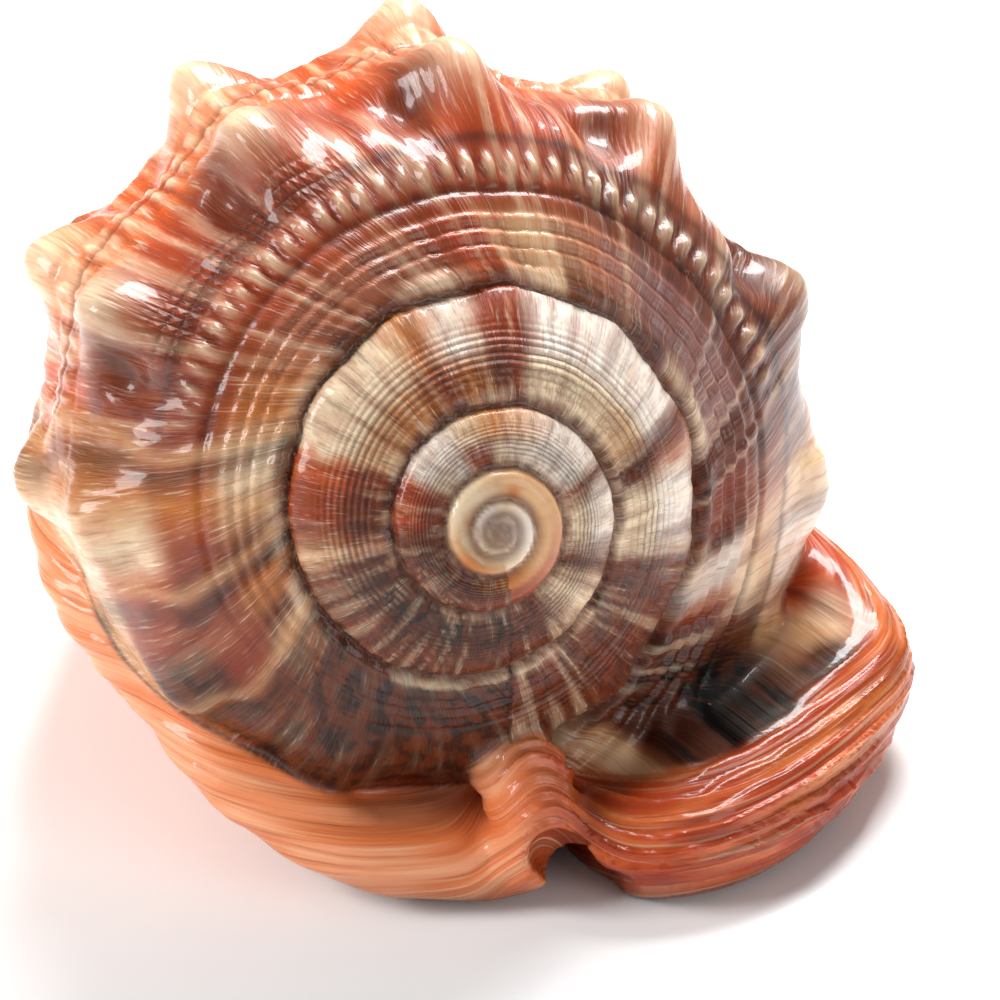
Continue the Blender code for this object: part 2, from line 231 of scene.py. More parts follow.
def tube(points, path):
    """Distance to a round tube whose radius is the path's fourth column."""
    nearest = np.full(len(points), FAR)
    for start, end in zip(path[:-1], path[1:]):
        run = end[:3] - start[:3]
        t = np.clip((points - start[:3]) @ run / (run @ run), 0.0, 1.0)
        gap = points - start[:3] - t[:, None] * run
        radius = start[3] + (end[3] - start[3]) * t
        nearest = np.minimum(nearest, np.sqrt((gap**2).sum(axis=1)) - radius)
    return nearest


def outline_distance(x, y, outline):
    """Signed distance in plan to a closed outline, negative inside."""
    squared = np.full(x.shape, FAR**2)
    inside = np.zeros(x.shape, dtype=bool)
    for (ax, ay), (bx, by) in zip(outline, np.roll(outline, -1, axis=0)):
        ex, ey = bx - ax, by - ay
        t = np.clip(((x - ax) * ex + (y - ay) * ey) / (ex * ex + ey * ey), 0.0, 1.0)
        squared = np.minimum(squared, (x - ax - t * ex) ** 2 + (y - ay - t * ey) ** 2)
        if ay != by:
            crosses = ((ay > y) != (by > y)) & (x < ax + ex * (y - ay) / ey)
            inside ^= crosses
    return np.where(inside, -1, 1) * np.sqrt(squared)


RIM_OUTLINE = smooth_curve(RIM, 4, True)
RIM_PATH = np.vstack([RIM_OUTLINE, RIM_OUTLINE[:1]])
FOLD_PATH = smooth_curve(FOLD, 3, False)
CANAL_PATH = smooth_curve(CANAL, 3, False)
CANAL_GROOVE_PATH = smooth_curve(CANAL_GROOVE, 3, False)
NOTCH_PATH = smooth_curve(NOTCH, 3, False)
ARCH_PATH = smooth_curve(ARCH, 3, False)


def slit_x(y):
    """The aperture's centre line in plan."""
    bend = 0.26 * np.sin(np.clip((y - 0.1) / 3.9, 0.0, 1.0) * np.pi)
    return 0.22 - 0.11 * smooth_step(2.4, 3.7, y) + bend


def underside(x, y):
    """Height of the disc's lower face: it touches the ground on both sides of the aperture."""
    from_slit = x - slit_x(y)
    inward = np.minimum(np.abs(from_slit) - 0.25, 0.0)
    height = 0.50 * inward**2 - 0.008
    height += 0.36 * np.maximum(0.0, -0.42 - from_slit) ** 1.8
    height += 0.16 * np.maximum(0.0, from_slit - 0.50) ** 2
    return height + 0.08 * np.maximum(0.0, y - 2.7) ** 1.5


def disc(points, ground):
    """The callus disc: a slab over the underside, within the rim, and the rim itself."""
    x, y, z = points.T
    plan = outline_distance(x, y, RIM_OUTLINE[:, :2])
    half = 0.13 + 0.07 * smooth_step(0.3, 0.8, x) * (1 - smooth_step(0.3, 1.6, y))
    slab = meet(plan + 0.04, 0.85 * (np.abs(z - ground - half) - half), 0.14)
    return slab, tube(points, RIM_PATH)


def hollow(points, ground, last, earlier, turn, reach, height):
    """The room inside the last whorl, its aperture, the notch and the canal's groove."""
    x, y, z = points.T
    wall = WALL + 0.30 * smooth_step(-140, -230, turn)
    room = np.maximum(last + wall, 0.04 - earlier)
    room = meet(room, 0.30 + ground - z, 0.12)
    room = meet(room, np.radians(turn) * reach + 0.12, 0.05)
    columella = 0.27 - 0.03 * smooth_step(-2.6, -3.8, height)
    room = meet(room, columella - reach, 0.1)
    half_width = 0.065 + 0.045 * smooth_step(0.3, 1.4, y)
    top = 0.10 + 0.65 * smooth_step(0.35, 1.0, y)
    slit = meet(np.abs(x - slit_x(y)) - half_width, z - top, 0.06)
    slit = meet(slit, y - 3.5, 0.05)
    room = join(room, slit, 0.06)
    room = join(room, tube(points, CANAL_GROOVE_PATH), 0.05)
    room = join(room, tube(points, ARCH_PATH), 0.03)
    return join(room, tube(points, NOTCH_PATH), 0.04)


def shell(points):
    """Signed distance to the shell, negative in its material."""
    x, y, z = points.T
    from_apex = points - APEX
    height = from_apex @ AXIS
    above = from_apex @ ACROSS
    reach = np.hypot(x, above)
    round_axis = np.degrees(np.arctan2(-x, -above))
    turn = (round_axis - LIP_ANGLE) % 360 - 360
    last = whorl(reach, turn, height)
    earlier = np.full(len(points), FAR)
    for n in range(1, WHORLS):
        earlier = np.minimum(earlier, whorl(reach, turn - 360 * n, height))
    ground = underside(x, y)
    body = meet(np.minimum(last, earlier), 0.85 * (ground - z), 0.05)
    slab, rim = disc(points, ground)
    body = join(join(body, slab, 0.16), rim, 0.10)
    centre, radii = INNER_CALLUS
    callus = (np.sqrt((((points - centre) / radii) ** 2).sum(axis=1)) - 1) * radii.min()
    body = join(body, callus, 0.15)
    body = join(body, tube(points, FOLD_PATH), 0.09)
    body = join(body, tube(points, CANAL_PATH), 0.16)
    room = hollow(points, ground, last, earlier, turn, reach, height)
    return np.maximum(meet(body, -room, 0.035), -z)


def sample(field, low, high, step, block):
    """The field on a grid, worked out only in the blocks that its surface may cross."""
    counts = np.ceil((high - low) / (step * block)).astype(int)
    middles = [low[i] + (np.arange(counts[i]) + 0.5) * step * block - step / 2 for i in range(3)]
    centres = np.stack(np.meshgrid(*middles, indexing="ij"), axis=-1).reshape(-1, 3)
    coarse = field(centres)
    near = np.abs(coarse) < 1.25 * step * block
    values = np.where(coarse > 0, 1.0, -1.0).reshape(counts)
    for direction in range(3):
        values = np.repeat(values, block, axis=direction)
    corners = np.argwhere(near.reshape(counts)) * block
    inside = np.stack(np.meshgrid(*[np.arange(block)] * 3, indexing="ij"), axis=-1).reshape(-1, 3)
    batch = 4000
    for start in range(0, len(corners), batch):
        cells = (corners[start:start + batch, None] + inside).reshape(-1, 3)
        values[tuple(cells.T)] = field(low + cells * step)
    return values.astype(np.float32)


def largest_piece(points, quads):
    """Drops the small voids that are left closed between the whorls."""
    sides = np.vstack([quads[:, [0, 1]], quads[:, [1, 2]], quads[:, [2, 3]]]).astype(np.int64)
    label = np.arange(len(points))
    settled = False
    while not settled:
        lowest = np.minimum(label[sides[:, 0]], label[sides[:, 1]])
        joined = label.copy()
        np.minimum.at(joined, sides[:, 0], lowest)
        np.minimum.at(joined, sides[:, 1], lowest)
        joined = joined[joined]
        settled = np.array_equal(joined, label)
        label = joined
    kept = label == np.bincount(label).argmax()
    renumbered = np.cumsum(kept) - 1
    return points[kept], renumbered[quads[kept[quads[:, 0]]]]


# Sampling of the skin.
SKIN_STEP = 0.03
PROJECTIONS = 2  # Newton steps that carry the subdivided skin onto the field's zero level

# Angles of growth are in degrees, 0 at the lip and -360 per whorl, written from a mark that
# lies SPAN degrees before the lip. The place across a whorl is its length over the section
# from the suture, in units of the whorl's suture radius.
SPAN = 257.0
LEAN = 20.0  # growth lines lean back by this angle from the suture to the last whorl's shoulder
SPIRE_LEAN = 5.0
LEAN_WIDTH = 0.5
FOLD_RISE = 0.20  # how far the lip's layers rise where they pass over the notch's fold

DEPTH = 1.35  # power on the linear colours, which deepens the browns and keeps the whites

LAYER = 0.062  # thickness of the lip's layers
LAYER_CENTRE = (0.3, 1.6)  # in plan, the place that the layers of the callus are drawn round
TOOTH_SPACING = 0.17

# Rows of beads on the last whorl: place across it, half width, spacing, first and last angle
# from the mark, and height.
BEAD_ROWS = [
    (0.585, 0.062, 4.0, 14, 172, 0.042),
    (1.64, 0.075, 3.1, 6, 150, 0.024),
    (1.84, 0.075, 3.1, 6, 150, 0.020),
]
# Angles from the mark at which growth paused and left a raised line across the last whorl.
PAUSES = (-1.0, -25.0, 26.0)

# Colours as display values, red, green, blue.
PALETTE = {
    "ink": (22, 9, 4), "bark": (56, 26, 11), "umber": (108, 54, 21), "rust": (156, 70, 25),
    "terracotta": (190, 88, 38), "orange": (212, 108, 46), "ochre": (214, 144, 76),
    "peach": (228, 146, 98), "blush": (236, 172, 134), "rose": (194, 132, 104), "sand": (228, 190, 150),
    "cream": (246, 226, 198), "chalk": (248, 238, 228), "mauve": (172, 138, 134),
    "plum": (118, 70, 58),
}
# The last whorl's colour by angle from the mark: subsutural band, ramp, shoulder, side.
LAST_WHORL = [
    (-60, "bark", "bark", "bark", "rust"),
    (-44, "umber", "umber", "umber", "ochre"),
    (-34, "sand", "rust", "bark", "sand"),
    (-26, "umber", "rust", "rust", "sand"),
    (-16, "ochre", "umber", "terracotta", "cream"),
    (-8, "umber", "rust", "cream", "cream"),
    (2, "sand", "ochre", "ochre", "ochre"),
    (14, "cream", "rust", "rust", "orange"),
    (28, "ochre", "rust", "rust", "peach"),
    (45, "rose", "terracotta", "terracotta", "orange"),
    (60, "rose", "terracotta", "terracotta", "peach"),
    (75, "rose", "rust", "terracotta", "orange"),
    (90, "terracotta", "rust", "terracotta", "orange"),
    (105, "sand", "rust", "terracotta", "orange"),
    (120, "rose", "umber", "terracotta", "peach"),
    (135, "mauve", "plum", "rose", "peach"),
    (150, "mauve", "plum", "plum", "rose"),
    (165, "mauve", "plum", "plum", "mauve"),
    (172, "umber", "plum", "plum", "mauve"),
    (182, "rust", "rose", "sand", "rose"),
    (190, "umber", "sand", "chalk", "rose"),
    (197, "chalk", "cream", "chalk", "sand"),
    (205, "rust", "umber", "sand", "rust"),
    (213, "bark", "ink", "ink", "bark"),
    (226, "ink", "ink", "bark", "umber"),
    (231, "umber", "umber", "rust", "umber"),
    (234, "sand", "sand", "rose", "ochre"),
    (250, "rust", "terracotta", "rust", "terracotta"),
]
# The spire's whorls, by angle from the mark: their inner and their outer half.
SPIRE = {
    1: [(-40, "bark", "umber"), (-12, "umber", "umber"), (-8, "rose", "sand"), (4, "umber", "rust"),
        (24, "rust", "orange"), (30, "sand", "cream"), (60, "ochre", "cream"),
        (72, "rust", "ochre"), (84, "ochre", "chalk"), (96, "umber", "rust"),
        (104, "rust", "rust"), (112, "cream", "chalk"), (130, "cream", "chalk"),
        (158, "sand", "chalk"), (164, "umber", "umber"), (170, "umber", "rose"),
        (178, "cream", "chalk"), (190, "cream", "chalk"), (200, "umber", "umber"),
        (226, "umber", "plum"), (250, "umber", "umber"), (320, "umber", "umber")],
    2: [(-103, "ochre", "rust"), (-60, "umber", "umber"), (0, "plum", "umber"), (10, "rust", "terracotta"),
        (32, "rust", "terracotta"), (40, "cream", "chalk"), (64, "chalk", "chalk"),
        (72, "terracotta", "cream"), (84, "rust", "sand"), (92, "cream", "ochre"),
        (130, "chalk", "chalk"), (150, "chalk", "chalk"), (160, "rust", "umber"),
        (172, "cream", "chalk"), (190, "cream", "chalk"), (204, "umber", "umber"),
        (222, "cream", "cream"), (240, "umber", "umber"), (320, "umber", "umber")],
    3: [(-103, "cream", "sand"), (-40, "sand", "ochre"), (-10, "cream", "sand"), (20, "sand", "cream"),
        (60, "cream", "cream"), (95, "sand", "sand"), (112, "ochre", "sand"),
        (125, "sand", "sand"), (160, "sand", "sand"), (220, "sand", "rose"),
        (257, "ochre", "rust")],
    4: [(-40, "cream", "cream"), (60, "chalk", "chalk"), (100, "cream", "cream"),
        (180, "chalk", "chalk"), (257, "cream", "cream")],
}


def value_noise(u, v, seed):
    """Smooth noise between -1 and 1 over a plane, with one random value for each unit cell."""
    lattice = np.random.default_rng(seed).uniform(-1, 1, (256, 256))
    i, j = np.floor(u).astype(int), np.floor(v).astype(int)
    a, b = u - i, v - j
    a, b = a * a * (3 - 2 * a), b * b * (3 - 2 * b)
    low = lattice[i % 256, j % 256] * (1 - a) + lattice[(i + 1) % 256, j % 256] * a
    high = lattice[i % 256, (j + 1) % 256] * (1 - a) + lattice[(i + 1) % 256, (j + 1) % 256] * a
    return low * (1 - b) + high * b


def length_table():
    """Angle about the section's centre, and length over the section from the suture to there."""
    outline = smooth_curve(SECTION, 40, True)
    length = np.cumsum(np.hypot(*np.diff(outline, axis=0, prepend=outline[:1]).T))
    angle = section_angle(*outline.T)
    falling = (angle < np.pi / 2 - 0.02) & (angle > -np.pi + 0.1) & (np.arange(len(angle)) < 760)
    order = np.argsort(angle[falling])
    return angle[falling][order], length[falling][order]


ANGLE_AT, LENGTH_AT = length_table()


def leaning(across):
    """How much of their lean the growth lines have reached, at a place across the whorl."""
    return 1 - np.exp(-across / LEAN_WIDTH)


class Places:
    """Where each point lies on the shell: its whorl, growth angle, and place on the callus."""

    def __init__(self, points):
        x, y, z = points.T
        from_apex = points - APEX
        height = from_apex @ AXIS
        above = from_apex @ ACROSS
        self.reach = np.hypot(x, above)
        turn = (np.degrees(np.arctan2(-x, -above)) - LIP_ANGLE) % 360 - 360
        distances = np.array([whorl(self.reach, turn - 360 * n, height) for n in range(WHORLS)])
        self.whorl = distances.argmin(axis=0)
        nearest_two = np.sort(distances, axis=0)[:2]
        self.seam = nearest_two[1] - nearest_two[0]
        self.turn = turn - 360 * self.whorl
        self.from_mark = turn + SPAN
        self.size = np.exp(GROWTH_PER_TURN * self.turn / 360)
        flatten = (self.size / REFERENCE_RADIUS) ** (SPIRE_POWER - 1)
        drop = height + SPIRE_DROP * self.size**SPIRE_POWER
        self.angle = section_angle(self.reach / self.size, drop / (self.size * flatten))
        self.across = np.interp(self.angle, ANGLE_AT, LENGTH_AT)
        self.across = np.where(self.angle > ANGLE_AT[-1], 0.0, self.across)
        lean = np.where(self.whorl == 0, LEAN, SPIRE_LEAN)
        self.growth = self.from_mark + lean * leaning(self.across)
        ground = underside(x, y)
        slab, rim = disc(points, ground)
        callus = join(slab, rim, 0.10)
        callus = join(callus, tube(points, FOLD_PATH), 0.09)
        callus = join(callus, tube(points, CANAL_PATH), 0.16)
        self.callus = smooth_step(-0.05, 0.03, nearest_two[0] - callus)
        low_side = smooth_step(0.68, 0.60, z) * smooth_step(0.9, 1.3, y) * smooth_step(-0.3, -0.6, x)
        self.callus = np.maximum(self.callus, low_side)
        room = hollow(points, ground, distances[0], distances[1:].min(axis=0), turn,
                      self.reach, height)
        self.inside = smooth_step(0.012, -0.004, room)
        self.plan = outline_distance(x, y, RIM_OUTLINE[:, :2])
        fold = FOLD_RISE * bump(x - 0.15, 0.17) * smooth_step(0.8, 0.3, y)
        self.level = z - 0.55 * self.plan - fold
        above_lip = smooth_step(0.42, 0.48, self.level) * smooth_step(0.16, 0.30, x)
        within = np.maximum(smooth_step(-0.02, -0.14, self.plan), smooth_step(1.35, 1.2, x))
        self.callus *= 1 - above_lip * within * smooth_step(1.0, 0.8, y)
        self.around = np.arctan2(x - LAYER_CENTRE[0], LAYER_CENTRE[1] - y)
        self.points = points
        self.lip = smooth_step(0.0, 0.12, x) * smooth_step(3.4, 2.4, y)


def ring(values, centre, width):
    """A smooth band about a place across the whorl."""
    return bump(values - centre, width)


def beads(place, centre, width, spacing, low, high):
    """A row of beads along the whorl, drawn out across it, from one angle to another."""
    straighter = 0.7 * place.from_mark + 0.3 * place.growth
    phase = np.cos(np.radians(straighter * 360 / spacing))
    kept = smooth_step(low, low + 14, place.from_mark) * smooth_step(high, high - 18, place.from_mark)
    uneven = 0.75 + 0.45 * value_noise(straighter / 3.0, place.across * 0 + centre, 35)
    return uneven * (0.30 + 0.70 * phase) * ring(place.across, centre, width) * kept * (place.whorl == 0)


def from_pause(place, pause):
    """Degrees of growth from a line where growth paused, which wanders across the whorl."""
    return place.growth - pause - 3 * value_noise(place.across * 3, place.growth * 0, 15)


def knob_phase(place):
    """Degrees from the nearest shoulder knob's middle, and whether knobs are grown there."""
    grown = smooth_step(-262, -240, place.turn) * smooth_step(-80, -110, place.turn)
    return from_rib(place.turn), grown * (place.whorl == 0)


def whorl_relief(place):
    """Height of the whorls' own relief, in units of the suture radius."""
    s, growth = place.across, place.growth
    last = place.whorl == 0
    late = last * smooth_step(-10, 20, place.from_mark)
    relief = 0.020 * (ring(s, 0.05, 0.04) * (1 + 0.6 * value_noise(growth / 6, s * 0, 3)))
    for centre, deep in ((0.13, 0.007), (0.20, 0.016), (0.28, 0.016), (0.36, 0.008), (0.465, 0.014)):
        relief -= deep * ring(s, centre, 0.022)
    for centre in (0.165, 0.24, 0.32):
        relief += 0.008 * ring(s, centre, 0.025)
    for *row, height in BEAD_ROWS:
        relief += height * beads(place, *row)
    relief -= 0.012 * late * (ring(s, 1.74, 0.02) + ring(s, 1.53, 0.03) + ring(s, 1.96, 0.03))
    ridges = value_noise(growth / 2.1, s * 1.3, 11) + 0.6 * value_noise(growth / 0.9, s * 1.6, 12)
    ridges *= place.whorl < 4
    relief += 0.0075 * ridges * (1 - ring(s, 0.585, 0.12))
    relief += 0.02 * value_noise(growth / 9, s * 1.1, 14) * (s > 0.1)
    for pause in PAUSES:
        relief += 0.014 * last * bump(from_pause(place, pause), 2.2)
    threads = np.cos(2 * np.pi * s / 0.075) * ring(s, 0.42, 0.24)
    relief += 0.0080 * threads * (place.whorl > 0)
    phase, shown = knob_phase(place)
    crest = bump(phase - 1, 3.6) * np.maximum(ring(s, 1.25, 0.40), ring(s, 2.19, 0.4))
    scoop = bump(phase + 6.5, 3.4) * ring(s, 1.08, 0.36)
    relief += (0.050 * crest - 0.034 * scoop) * shown
    suture = bump(place.seam, 0.010 + 0.010 * place.size)
    return relief * place.size * np.where(place.whorl < 3, 1.0, 0.35) - 0.020 * suture


def callus_relief(place):
    """Layers laid one over another along the lip, and faint ones on the shield."""
    x, y, z = place.points.T
    around = place.around
    wander = 0.020 * value_noise(around * 5, place.level * 3, 21)
    wander += 0.008 * value_noise(around * 16, place.level * 8, 22)
    level = (place.level + wander) / LAYER
    layer = level % 1.0
    edge = layer**1.4 * (1 - smooth_step(0.80, 1.0, layer))
    strong = 0.45 + 0.55 * smooth_step(-0.4, 0.6, value_noise(level // 1.0 * 7.3, around * 2, 23))
    lip = 0.046 * strong * edge * place.lip * smooth_step(0.05, 0.22, z)
    lip *= 1 - 0.65 * smooth_step(1.45, 1.75, x)
    left = 0.006 * np.sin(level * 3.4) * (1 - place.lip)
    fade = smooth_step(0.02, 0.10, z)
    return (lip + left) * fade


def teeth(place):
    """Ridges across both sides of the aperture."""
    x, y, z = place.points.T
    from_slit = np.abs(x - slit_x(y))
    ridge = np.cos(2 * np.pi * y / TOOTH_SPACING)
    near = smooth_step(0.30, 0.14, from_slit) * smooth_step(0.22, 0.10, z)
    along = smooth_step(0.3, 0.6, y) * smooth_step(3.3, 2.9, y)
    return 0.022 * ridge * near * along


def colour(name):
    """A named colour as linear values."""
    shown = np.array(PALETTE[name]) / 255
    return np.where(shown <= 0.04045, shown / 12.92, ((shown + 0.055) / 1.055) ** 2.4)


def along_whorl(stops, at, column):
    angles = [stop[0] for stop in stops]
    colours = np.array([colour(stop[column]) for stop in stops])
    return np.stack([np.interp(at, angles, colours[:, i]) for i in range(3)], axis=1)


def mix(first, second, part):
    part = np.asarray(part)[:, None]
    return first * (1 - part) + second * part


def zones(across, limits, width):
    """Weights of the bands across a whorl, which fade into each other at the limits."""
    edges = [smooth_step(limit - width, limit + width, across) for limit in limits]
    edges = [np.ones_like(across), *edges, np.zeros_like(across)]
    return [edges[i] - edges[i + 1] for i in range(len(limits) + 1)]


def last_whorl_paint(place):
    """Colour of the last whorl before its streaks."""
    wander = 2.5 * value_noise(place.growth / 5, place.across * 4, 31)
    paint = np.zeros((len(wander), 3))
    weights = zones(place.across, (0.36, 0.75, 1.35), 0.10)
    for column, (middle, weight) in enumerate(zip((0.2, 0.55, 1.0, 1.9), weights), 1):
        at = place.growth + wander - LEAN * leaning(middle)
        paint += weight[:, None] * along_whorl(LAST_WHORL, at, column)
    return paint


def spire_paint(place):
    paint = np.zeros((len(place.turn), 3))
    half = smooth_step(0.35, 0.60, place.across)
    at = place.growth + 2.0 * value_noise(place.growth / 4, place.across * 5, 33)
    for n in range(1, WHORLS):
        here = place.whorl == n
        if n > 3:
            half = np.zeros_like(half)
        stops = SPIRE[min(n, 4)]
        inner = along_whorl(stops, at[here], 1)
        outer = along_whorl(stops, at[here], 2)
        paint[here] = mix(inner, outer, half[here])
    return paint


def whorl_paint(place):
    s, growth = place.across, place.growth
    first = place.whorl == 0
    paint = np.where(first[:, None], last_whorl_paint(place), spire_paint(place))
    flames = value_noise(growth / np.where(first, 11.0, 7.0), place.whorl * 5.0, 41)
    cord = ring(s, 0.05, 0.05) * (place.whorl < 3)
    paint = mix(paint, colour("cream"), 0.75 * cord * smooth_step(-0.1, 0.35, flames))
    paint = mix(paint, colour("bark"), 0.7 * cord * smooth_step(0.2, -0.3, flames))
    streaks = value_noise(growth / 1.7, s * 1.2 + place.whorl * 9, 42)
    streaks *= np.where(first, 0.45 + 0.55 * smooth_step(-10, 35, place.from_mark), 1.0)
    streaks *= np.where(place.whorl > 2, 0.3, 1.0)
    paint = mix(paint, colour("cream"), 0.40 * smooth_step(0.05, 0.75, streaks))
    paint = mix(paint, colour("umber"), 0.34 * smooth_step(0.0, -0.7, streaks))
    bead = sum(np.maximum(beads(place, *row), 0) for *row, height in BEAD_ROWS)
    paint = mix(paint, colour("cream"), np.clip(0.9 * bead, 0, 0.65))
    late = first * smooth_step(-6, 20, place.from_mark)
    dark = 0.45 * ring(s, 0.465, 0.03) + 0.5 * ring(s, 0.74, 0.03) + 0.45 * ring(s, 1.74, 0.03)
    paint = mix(paint, colour("bark"), dark * late)
    # Painted shade: umber along the sutures, darkening the crease between whorls.
    suture = bump(place.seam, 0.005 + 0.012 * place.size)
    paint = mix(paint, colour("umber"), 0.7 * suture)
    for pause in PAUSES:
        line = from_pause(place, pause)
        paint = mix(paint, colour("bark"), 0.5 * bump(line + 4, 3.0) * first)
        paint = mix(paint, colour("sand"), 0.6 * bump(line, 1.8) * first)
    patch = smooth_step(211, 214, growth - LEAN * leaning(0.5))
    patch = patch * smooth_step(230, 227, place.from_mark) * smooth_step(1.4, 1.2, s)
    paint = mix(paint, colour("ink"), 0.95 * patch * first * smooth_step(0.05, 0.2, s))
    phase, shown = knob_phase(place)
    tip = bump(phase - 1, 5.5) * np.maximum(ring(s, 1.27, 0.22), ring(s, 2.19, 0.3))
    paint = mix(paint, colour("cream"), 0.85 * tip * shown)
    # Painted shade: umber in the scooped hollow on the face of each knob.
    scoop = bump(phase + 6.5, 3.8) * ring(s, 1.08, 0.36)
    paint = mix(paint, colour("umber"), 0.75 * scoop * shown)
    return paint


def callus_paint(place):
    x, y, z = place.points.T
    around = place.around
    tone = value_noise(around * 4, place.level * 14, 51)
    fine = value_noise(around * 9, place.level * 45, 52)
    lip = mix(np.tile(colour("terracotta"), (len(x), 1)), colour("ochre"),
              0.65 * smooth_step(-0.1, 0.7, tone))
    lip = mix(lip, colour("peach"), 0.55 * smooth_step(0.1, 0.8, fine))
    lip = mix(lip, colour("rust"), 0.65 * smooth_step(0.0, -0.7, fine))
    left = mix(np.tile(colour("peach"), (len(x), 1)), colour("blush"),
               smooth_step(-0.6, 0.5, tone))
    paint = mix(left, lip, smooth_step(-0.1, 0.35, x))
    # Painted shade: darker brown towards the ground, where the callus meets the floor.
    return mix(paint, colour("umber"), 0.7 * smooth_step(0.20, 0.0, z))


def shell_paint(place):
    paint = mix(whorl_paint(place), callus_paint(place), place.callus)
    x, y, z = place.points.T
    # Painted shade: near-black ink in the hollow above the lip band's top edge, where shade falls.
    painted_gutter_shade = bump(x - 1.46, 0.13) * bump(y - 0.46, 0.15) * smooth_step(0.46, 0.50, place.level)
    paint = mix(paint, colour("ink"), np.clip(1.6 * painted_gutter_shade, 0, 0.95))
    # Painted shade: dark brown along the junction where the body's underside meets the shield.
    seam = bump(place.callus - 0.35, 0.30) * smooth_step(0.15, -0.05, x) * smooth_step(1.6, 0.9, y)
    paint = mix(paint, colour("bark"), 0.75 * seam)
    return mix(paint, colour("rust"), 0.8 * place.inside) ** DEPTH


def normals_of(mesh):
    normals = np.empty(len(mesh.vertices) * 3, np.float32)
    mesh.vertex_normals.foreach_get("vector", normals)
    return normals.reshape(-1, 3).astype(float)


def points_of(mesh):
    points = np.empty(len(mesh.vertices) * 3, np.float32)
    mesh.vertices.foreach_get("co", points)
    return points.reshape(-1, 3).astype(float)


def set_points(mesh, points):
    mesh.vertices.foreach_set("co", points.astype(np.float32).ravel())
    mesh.update()


def base_skin():
    """The field's zero level, subdivided once and carried back onto the field."""
    grid = openvdb.FloatGrid(1.0)
    grid.copyFromArray(sample(shell, FIELD_LOW, FIELD_HIGH, SKIN_STEP, BLOCK))
    points, quads = largest_piece(*grid.convertToQuads(0.0))
    mesh = bpy.data.meshes.new("skin")
    mesh.from_pydata((points * SKIN_STEP + FIELD_LOW).tolist(), [], quads.tolist())
    skin = bpy.data.objects.new("skin", mesh)
    bpy.context.scene.collection.objects.link(skin)
    finer = skin.modifiers.new("finer", "SUBSURF")
    finer.levels = 1
    finer.render_levels = 1
    depsgraph = bpy.context.evaluated_depsgraph_get()
    fine = bpy.data.meshes.new_from_object(skin.evaluated_get(depsgraph))
    bpy.data.objects.remove(skin)
    bpy.data.meshes.remove(mesh)
    for _ in range(PROJECTIONS):
        points = points_of(fine)
        reach = np.clip(shell(points), -SKIN_STEP, SKIN_STEP) * 0.8
        set_points(fine, points - reach[:, None] * normals_of(fine))
    return fine


def add_attribute(mesh, name, kind, values):
    layer = mesh.attributes.new(name, kind, "POINT")
    field = {"FLOAT": "value", "FLOAT_VECTOR": "vector", "FLOAT_COLOR": "color"}[kind]
    layer.data.foreach_set(field, values.astype(np.float32).ravel())


def shell_skin():
    """The finished skin in metres, and where its own frame's origin lies in the row frame."""
    mesh = base_skin()
    points = points_of(mesh)
    place = Places(points)
    relief = whorl_relief(place) * (1 - place.callus) + callus_relief(place) * place.callus
    relief = relief * (1 - place.inside) + teeth(place)
    paint = shell_paint(place)
    add_attribute(mesh, "paint", "FLOAT_COLOR", np.hstack([paint, np.ones((len(paint), 1))]))
    coil = np.stack([place.growth / 10, place.across * 10, place.whorl * 3.7], axis=1)
    add_attribute(mesh, "coil", "FLOAT_VECTOR", coil)
    layers = np.stack([place.level * 20, place.around * 6, place.level * 0], axis=1)
    add_attribute(mesh, "layers", "FLOAT_VECTOR", layers)
    add_attribute(mesh, "callus", "FLOAT", place.callus)
    add_attribute(mesh, "grown", "FLOAT", (place.whorl < 3) * (1 - place.callus))
    add_attribute(mesh, "last", "FLOAT", (place.whorl == 0).astype(float))
    threads = ring(place.across, 0.42, 0.24) * (place.whorl > 0) * (place.whorl < 3)
    threads += (place.whorl == 0) * ring(place.across, 0.80, 0.11) * smooth_step(
        20, 34, place.from_mark) * smooth_step(78, 60, place.from_mark)
    add_attribute(mesh, "threads", "FLOAT", threads * (1 - place.callus))
    low, high = points.min(axis=0), points.max(axis=0)
    points = points + relief[:, None] * normals_of(mesh)
    points[:, 2] = np.maximum(points[:, 2], low[2])
    cad_low, cad_high = (np.array(corner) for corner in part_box(NODE))
    middle = (cad_low + cad_high) / 2
    origin = np.array([middle[0], middle[1], cad_low[2]])
    origin -= SUTURE_RADIUS * np.array([(low[0] + high[0]) / 2, (low[1] + high[1]) / 2, low[2]])
    set_points(mesh, points * SUTURE_RADIUS + origin)
    return mesh, origin


def node(tree, kind, at, **settings):
    made = tree.nodes.new(kind)
    made.location = (at[0] * 220, at[1] * 200)
    for name, value in settings.items():
        setattr(made, name, value)
    return made


def attribute(tree, name, at):
    return node(tree, "ShaderNodeAttribute", at, attribute_name=name)


def maths(tree, operation, first, second, at):
    """A Math node whose inputs are sockets or plain numbers."""
    made = node(tree, "ShaderNodeMath", at, operation=operation)
    for socket, value in zip(made.inputs, (first, second)):
        if isinstance(value, bpy.types.NodeSocket):
            tree.links.new(value, socket)
        else:
            socket.default_value = value
    return made.outputs["Value"]


def noise(tree, vector, scale, detail, at):
    made = node(tree, "ShaderNodeTexNoise", at)
    made.inputs["Scale"].default_value = scale
    made.inputs["Detail"].default_value = detail
    tree.links.new(vector, made.inputs["Vector"])
    return made.outputs["Fac"]


def stretched(tree, vector, scale, at):
    """The vector with its three parts scaled."""
    made = node(tree, "ShaderNodeVectorMath", at, operation="MULTIPLY")
    tree.links.new(vector, made.inputs[0])
    made.inputs[1].default_value = scale
    return made.outputs["Vector"]


def range_of(tree, value, low, high, to_low, to_high, at):
    made = node(tree, "ShaderNodeMapRange", at)
    tree.links.new(value, made.inputs["Value"])
    for name, number in (("From Min", low), ("From Max", high), ("To Min", to_low),
                         ("To Max", to_high)):
        made.inputs[name].default_value = number
    return made.outputs["Result"]


